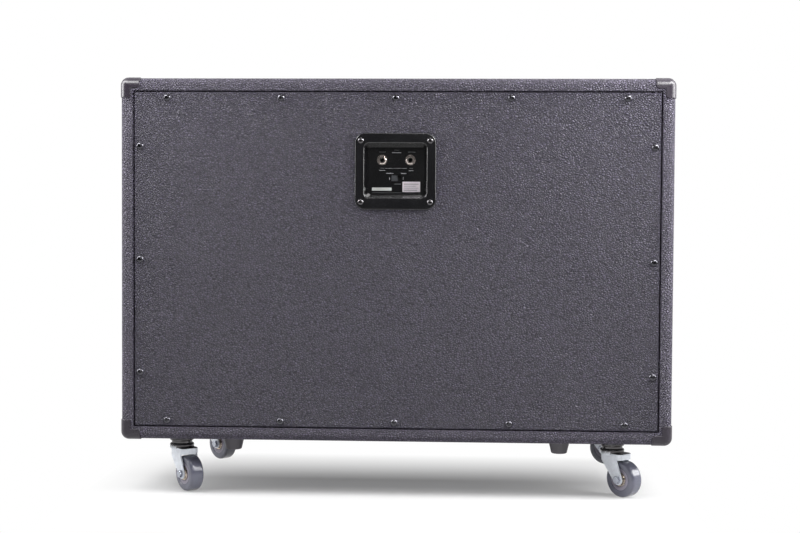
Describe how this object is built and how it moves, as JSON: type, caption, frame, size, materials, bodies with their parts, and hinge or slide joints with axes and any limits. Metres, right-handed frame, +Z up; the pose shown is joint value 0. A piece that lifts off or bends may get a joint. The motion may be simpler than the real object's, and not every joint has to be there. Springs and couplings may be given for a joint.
{
  "type": "guitar speaker cabinet",
  "caption": "Closed-back guitar speaker cabinet in dark grained vinyl with corner protectors, a recessed jack dish, side handles, rubber feet and swivel casters.",
  "frame": {"origin": "on the floor under the middle of the cabinet", "axes": "+Z up, the grille faces -Y and the back panel +Y, +X to the right seen from the grille"},
  "size_m": [0.7694, 0.3607, 0.5782],
  "materials": {
    "vinyl": "grained vinyl, satin",
    "plywood": "raw plywood",
    "grille_cloth": "woven grille cloth",
    "corner_plastic": "moulded, satin",
    "dish_plastic": "moulded, fine grain",
    "black_screw": "black, glossy",
    "bright_screw": "bright plated",
    "jack_body": "moulded black",
    "jack_metal": "nickel plated",
    "switch_case": "plated steel",
    "switch_knob": "moulded grey",
    "grip_rubber": "ribbed rubber sleeve",
    "lead_rubber": "insulated lead",
    "foot_rubber": "moulded rubber",
    "basket_steel": "painted pressed steel",
    "cone_paper": "pressed paper",
    "suspension_cloth": "doped cloth",
    "coil_copper": "wound copper",
    "motor_steel": "ferrite and plated steel",
    "caster_zinc": "bright zinc plate",
    "wheel_plastic": "moulded grey",
    "tyre_rubber": "grey rubber"
  },
  "bodies": {
    "cabinet": {"vinyl_covering": "vinyl", "back_panel_vinyl": "vinyl", "left_side_board": "plywood", "right_side_board": "plywood", "bottom_board": "plywood", "top_board": "plywood", "cleats": "plywood", "centre_brace": "plywood", "baffle_board": "plywood", "back_panel": "plywood", "grille_frame": "plywood", "grille_cloth": "grille_cloth", "corner_protectors": "corner_plastic", "back_panel_screws": "black_screw", "jack_dish": "dish_plastic", "jack_dish_screws": "bright_screw", "jack_socket_left": "jack_body", "jack_socket_right": "jack_body", "jack_nuts": "jack_metal", "switch_body": "switch_case", "handle_cup_left": "dish_plastic", "handle_cup_right": "dish_plastic", "handle_grips": "grip_rubber", "handle_screws": "black_screw", "speaker_bolts": "black_screw", "foot_screws": "bright_screw", "speaker_leads": "lead_rubber", "lead_clips": "corner_plastic", "rubber_feet": "foot_rubber", "caster_sockets": "caster_zinc", "caster_stems": "caster_zinc", "speaker_basket_left": "basket_steel", "speaker_suspension_left": "suspension_cloth", "speaker_motor_left": "motor_steel", "speaker_basket_right": "basket_steel", "speaker_suspension_right": "suspension_cloth", "speaker_motor_right": "motor_steel"},
    "switch": {"switch_slider": "switch_knob"},
    "cone_left": {"speaker_cone_left": "cone_paper", "dust_cap_left": "cone_paper", "voice_coil_left": "coil_copper"},
    "cone_right": {"speaker_cone_right": "cone_paper", "dust_cap_right": "cone_paper", "voice_coil_right": "coil_copper"},
    "swivel_front_left": {"caster_fork_front_left": "caster_zinc", "caster_axle_front_left": "caster_zinc"},
    "wheel_front_left": {"wheel_core_front_left": "wheel_plastic", "wheel_tyre_front_left": "tyre_rubber"},
    "swivel_front_right": {"caster_fork_front_right": "caster_zinc", "caster_axle_front_right": "caster_zinc"},
    "wheel_front_right": {"wheel_core_front_right": "wheel_plastic", "wheel_tyre_front_right": "tyre_rubber"},
    "swivel_rear_left": {"caster_fork_rear_left": "caster_zinc", "caster_axle_rear_left": "caster_zinc"},
    "wheel_rear_left": {"wheel_core_rear_left": "wheel_plastic", "wheel_tyre_rear_left": "tyre_rubber"},
    "swivel_rear_right": {"caster_fork_rear_right": "caster_zinc", "caster_axle_rear_right": "caster_zinc"},
    "wheel_rear_right": {"wheel_core_rear_right": "wheel_plastic", "wheel_tyre_rear_right": "tyre_rubber"}
  },
  "joints": [
    {"name": "switch_slide", "type": "slide", "parent": "cabinet", "child": "switch", "axis": [-1, 0, 0], "range_m": [0, 0.006]},
    {"name": "cone_travel_left", "type": "slide", "parent": "cabinet", "child": "cone_left", "axis": [0, 1, 0], "range_m": [-0.0025, 0.0025], "stiffness_N_per_m": 3000, "deforming": ["speaker_suspension_left"]},
    {"name": "cone_travel_right", "type": "slide", "parent": "cabinet", "child": "cone_right", "axis": [0, 1, 0], "range_m": [-0.0025, 0.0025], "stiffness_N_per_m": 3000, "deforming": ["speaker_suspension_right"]},
    {"name": "swivel_turn_front_left", "type": "hinge", "parent": "cabinet", "child": "swivel_front_left", "pos_m": [-0.3045, -0.127, 0.062], "axis": [0, 0, 1], "continuous": true},
    {"name": "wheel_spin_front_left", "type": "hinge", "parent": "swivel_front_left", "child": "wheel_front_left", "pos_m": [-0.32293, -0.1141, 0.025], "axis": [-0.5736, -0.8192, 0], "continuous": true},
    {"name": "swivel_turn_front_right", "type": "hinge", "parent": "cabinet", "child": "swivel_front_right", "pos_m": [0.3045, -0.127, 0.062], "axis": [0, 0, 1], "continuous": true},
    {"name": "wheel_spin_front_right", "type": "hinge", "parent": "swivel_front_right", "child": "wheel_front_right", "pos_m": [0.28831, -0.11137, 0.025], "axis": [-0.6947, -0.7193, 0], "continuous": true},
    {"name": "swivel_turn_rear_left", "type": "hinge", "parent": "cabinet", "child": "swivel_rear_left", "pos_m": [-0.3045, 0.127, 0.062], "axis": [0, 0, 1], "continuous": true},
    {"name": "wheel_spin_rear_left", "type": "hinge", "parent": "swivel_rear_left", "child": "wheel_rear_left", "pos_m": [-0.31955, 0.14372, 0.025], "axis": [-0.7431, -0.6691, 0], "continuous": true},
    {"name": "swivel_turn_rear_right", "type": "hinge", "parent": "cabinet", "child": "swivel_rear_right", "pos_m": [0.3045, 0.127, 0.062], "axis": [0, 0, 1], "continuous": true},
    {"name": "wheel_spin_rear_right", "type": "hinge", "parent": "swivel_rear_right", "child": "wheel_rear_right", "pos_m": [0.29004, 0.14424, 0.025], "axis": [-0.766, -0.6428, 0], "continuous": true}
  ]
}
